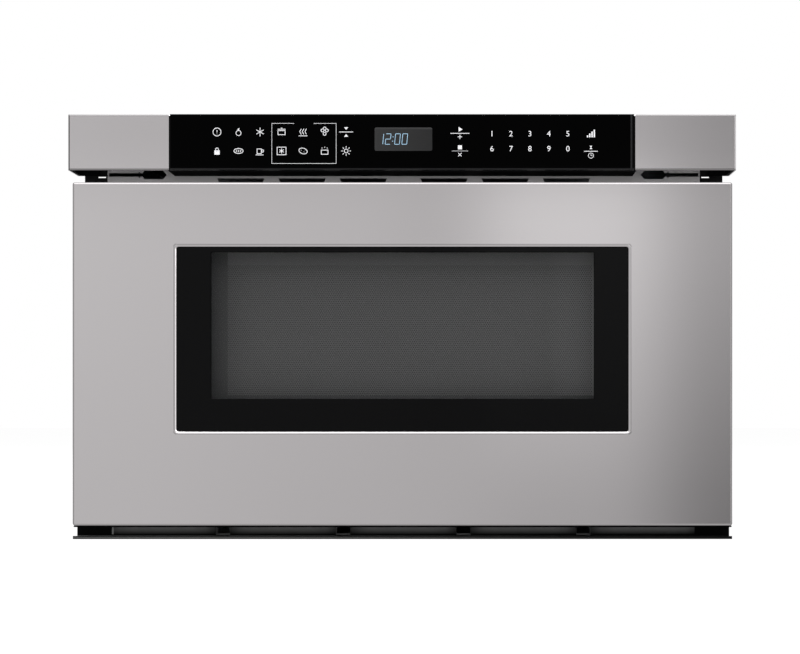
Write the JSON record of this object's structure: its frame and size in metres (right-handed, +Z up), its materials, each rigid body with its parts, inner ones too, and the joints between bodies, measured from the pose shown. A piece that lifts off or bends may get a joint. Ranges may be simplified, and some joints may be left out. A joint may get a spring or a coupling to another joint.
{
  "type": "microwave drawer",
  "caption": "Built-in microwave drawer: steel front with dark window and glass touch panel; the drawer slides out on telescopic slides, driven by a motor through racks and pinions.",
  "frame": {"origin": "middle of the underside of the whole part", "axes": "+X to the right seen from the front, +Y to the back, +Z up; the front faces -Y"},
  "size_m": [0.606, 0.59, 0.386],
  "materials": {
    "stainless": "horizontal brushed stainless steel",
    "coated_steel": "zinc coated sheet steel",
    "black_metal": "black powder coat",
    "black_moulding": "black moulding, satin",
    "touch_glass": "black printed glass, polished",
    "window_glass": "smoked window glass",
    "screen_steel": "black coated perforated sheet",
    "cavity_coat": "grey cavity paint",
    "choke_steel": "dark coated folded steel",
    "grey_moulding": "grey moulding",
    "mica": "pressed mica sheet",
    "ceramic": "glazed ceramic plate",
    "tub_steel": "satin stainless steel",
    "slide_zinc": "bright zinc plated steel",
    "rack_nylon": "natural nylon",
    "gear_nylon": "natural nylon",
    "shaft_steel": "ground steel",
    "core_iron": "varnished laminations",
    "copper": "enamelled copper winding",
    "aluminium": "bare aluminium",
    "circuit_board": "green circuit board",
    "display": "display module",
    "motor_can": "plated motor case",
    "white_moulding": "white moulding",
    "rubber": "black rubber",
    "lamp_glass": "clear lamp glass",
    "screw_steel": "plated screw"
  },
  "bodies": {
    "chassis": {"air_guide": "grey_moulding", "back_plate": "coated_steel", "base_plate": "coated_steel", "bearing_brackets": "slide_zinc", "capacitor_clamp": "slide_zinc", "control_board": "circuit_board", "cord_gland": "rubber", "display_module": "display", "exhaust_duct": "coated_steel", "exhaust_louvre": "stainless", "fan_motor": "core_iron", "fan_shroud": "grey_moulding", "filter_board": "circuit_board", "front_plate": "cavity_coat", "gear_motor": "motor_can", "hv_capacitor": "aluminium", "intake_trim": "black_metal", "interlock_bracket": "white_moulding", "interlock_switches": "black_moulding", "lamp_bulb": "lamp_glass", "lamp_holder": "slide_zinc", "magnetron_anode": "aluminium", "magnetron_case": "motor_can", "mounting_flanges": "black_metal", "oven_cavity": "cavity_coat", "panel_ends": "stainless", "panel_frame": "black_moulding", "panel_side_screws": "screw_steel", "side_panel_left": "coated_steel", "side_panel_right": "coated_steel", "slide_outer_members": "slide_zinc", "stirrer_cover": "mica", "stirrer_motor": "motor_can", "thermal_cutouts": "white_moulding", "top_cover": "coated_steel", "touch_glass": "touch_glass", "transformer_core": "core_iron", "transformer_windings": "copper", "waveguide": "coated_steel"},
    "drawer": {"door_skin": "stainless", "door_glass": "window_glass", "door_frame": "black_moulding", "choke_frame": "choke_steel", "choke_cover": "black_moulding", "door_screen": "screen_steel", "drawer_tub": "tub_steel", "ceramic_floor": "ceramic", "support_arms": "slide_zinc", "drawer_racks": "rack_nylon", "slide_inner_members": "slide_zinc", "latch_hooks": "white_moulding"},
    "slide_left": {"slide_middle_left": "slide_zinc"},
    "slide_right": {"slide_middle_right": "slide_zinc"},
    "cross_shaft": {"cross_shaft": "shaft_steel", "shaft_gears": "gear_nylon"},
    "motor_gear": {"motor_gear": "gear_nylon"},
    "fan": {"fan_blade": "white_moulding"},
    "stirrer": {"stirrer_blade": "aluminium"},
    "plunger_low": {"plunger_lower": "rubber"},
    "plunger_high": {"plunger_upper": "rubber"}
  },
  "joints": [
    {"name": "drawer_slide", "type": "slide", "parent": "chassis", "child": "drawer", "axis": [0, -1, 0], "range_m": [0, 0.38]},
    {"name": "slide_left_run", "type": "slide", "parent": "chassis", "child": "slide_left", "axis": [0, -1, 0], "range_m": [0, 0.19]},
    {"name": "slide_right_run", "type": "slide", "parent": "chassis", "child": "slide_right", "axis": [0, -1, 0], "range_m": [0, 0.19]},
    {"name": "cross_shaft_spin", "type": "hinge", "parent": "chassis", "child": "cross_shaft", "pos_m": [0, -0.235, 0.055], "axis": [1, 0, 0], "continuous": true},
    {"name": "motor_gear_spin", "type": "hinge", "parent": "chassis", "child": "motor_gear", "pos_m": [0.028, -0.205, 0.055], "axis": [1, 0, 0], "continuous": true},
    {"name": "fan_spin", "type": "hinge", "parent": "chassis", "child": "fan", "pos_m": [0.15, 0.28, 0.185], "axis": [0, 1, 0], "continuous": true},
    {"name": "stirrer_spin", "type": "hinge", "parent": "chassis", "child": "stirrer", "pos_m": [0, -0.0434, 0.28], "axis": [0, 0, 1], "continuous": true},
    {"name": "plunger_lower_press", "type": "slide", "parent": "chassis", "child": "plunger_low", "axis": [0, 1, 0], "range_m": [0, 0.002], "stiffness_N_per_m": 500},
    {"name": "plunger_upper_press", "type": "slide", "parent": "chassis", "child": "plunger_high", "axis": [0, 1, 0], "range_m": [0, 0.002], "stiffness_N_per_m": 500}
  ],
  "couplings": [
    {"joint": "slide_left_run", "follows": "drawer_slide", "ratio": 0.5},
    {"joint": "slide_right_run", "follows": "drawer_slide", "ratio": 0.5},
    {"joint": "cross_shaft_spin", "follows": "drawer_slide", "rad_per_m": 55.556},
    {"joint": "motor_gear_spin", "follows": "drawer_slide", "rad_per_m": -83.333}
  ]
}
